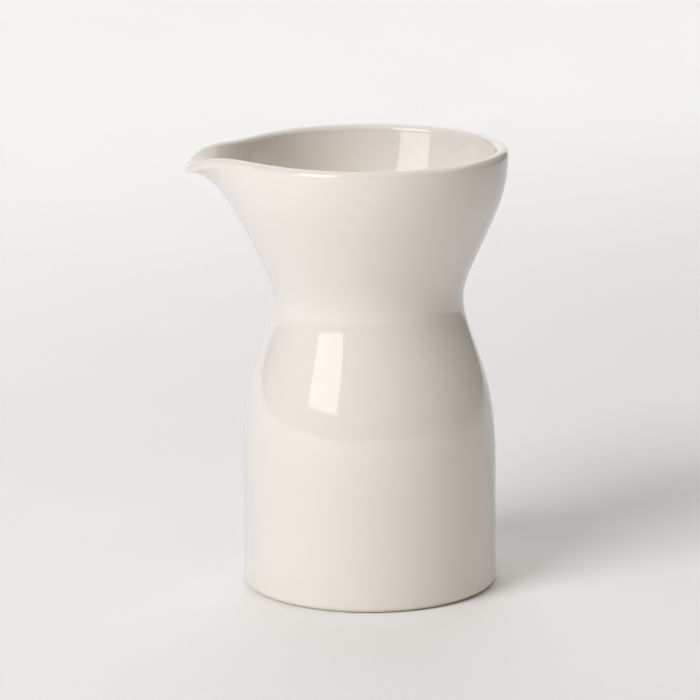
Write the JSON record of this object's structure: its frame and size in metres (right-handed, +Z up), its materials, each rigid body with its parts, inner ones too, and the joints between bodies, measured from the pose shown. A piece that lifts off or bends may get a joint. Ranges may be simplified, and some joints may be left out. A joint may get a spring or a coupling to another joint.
{
  "type": "cream jug",
  "caption": "Small waisted porcelain cream jug without a handle, with a flared mouth and a pinched pouring spout, glazed inside and out over a bare foot ring.",
  "frame": {"origin": "centre of the foot ring's contact plane, on the jug's axis", "axes": "+Z up along the jug's axis; the spout points along -X, and the jug is mirror-symmetric across the XZ plane"},
  "size_m": [0.0778, 0.0678, 0.1079],
  "materials": {
    "biscuit": "matte",
    "glaze": "gloss"
  },
  "bodies": {
    "root": {"porcelain_body": "biscuit", "glaze_coat": "glaze", "underside_glaze": "glaze"}
  },
  "joints": []
}
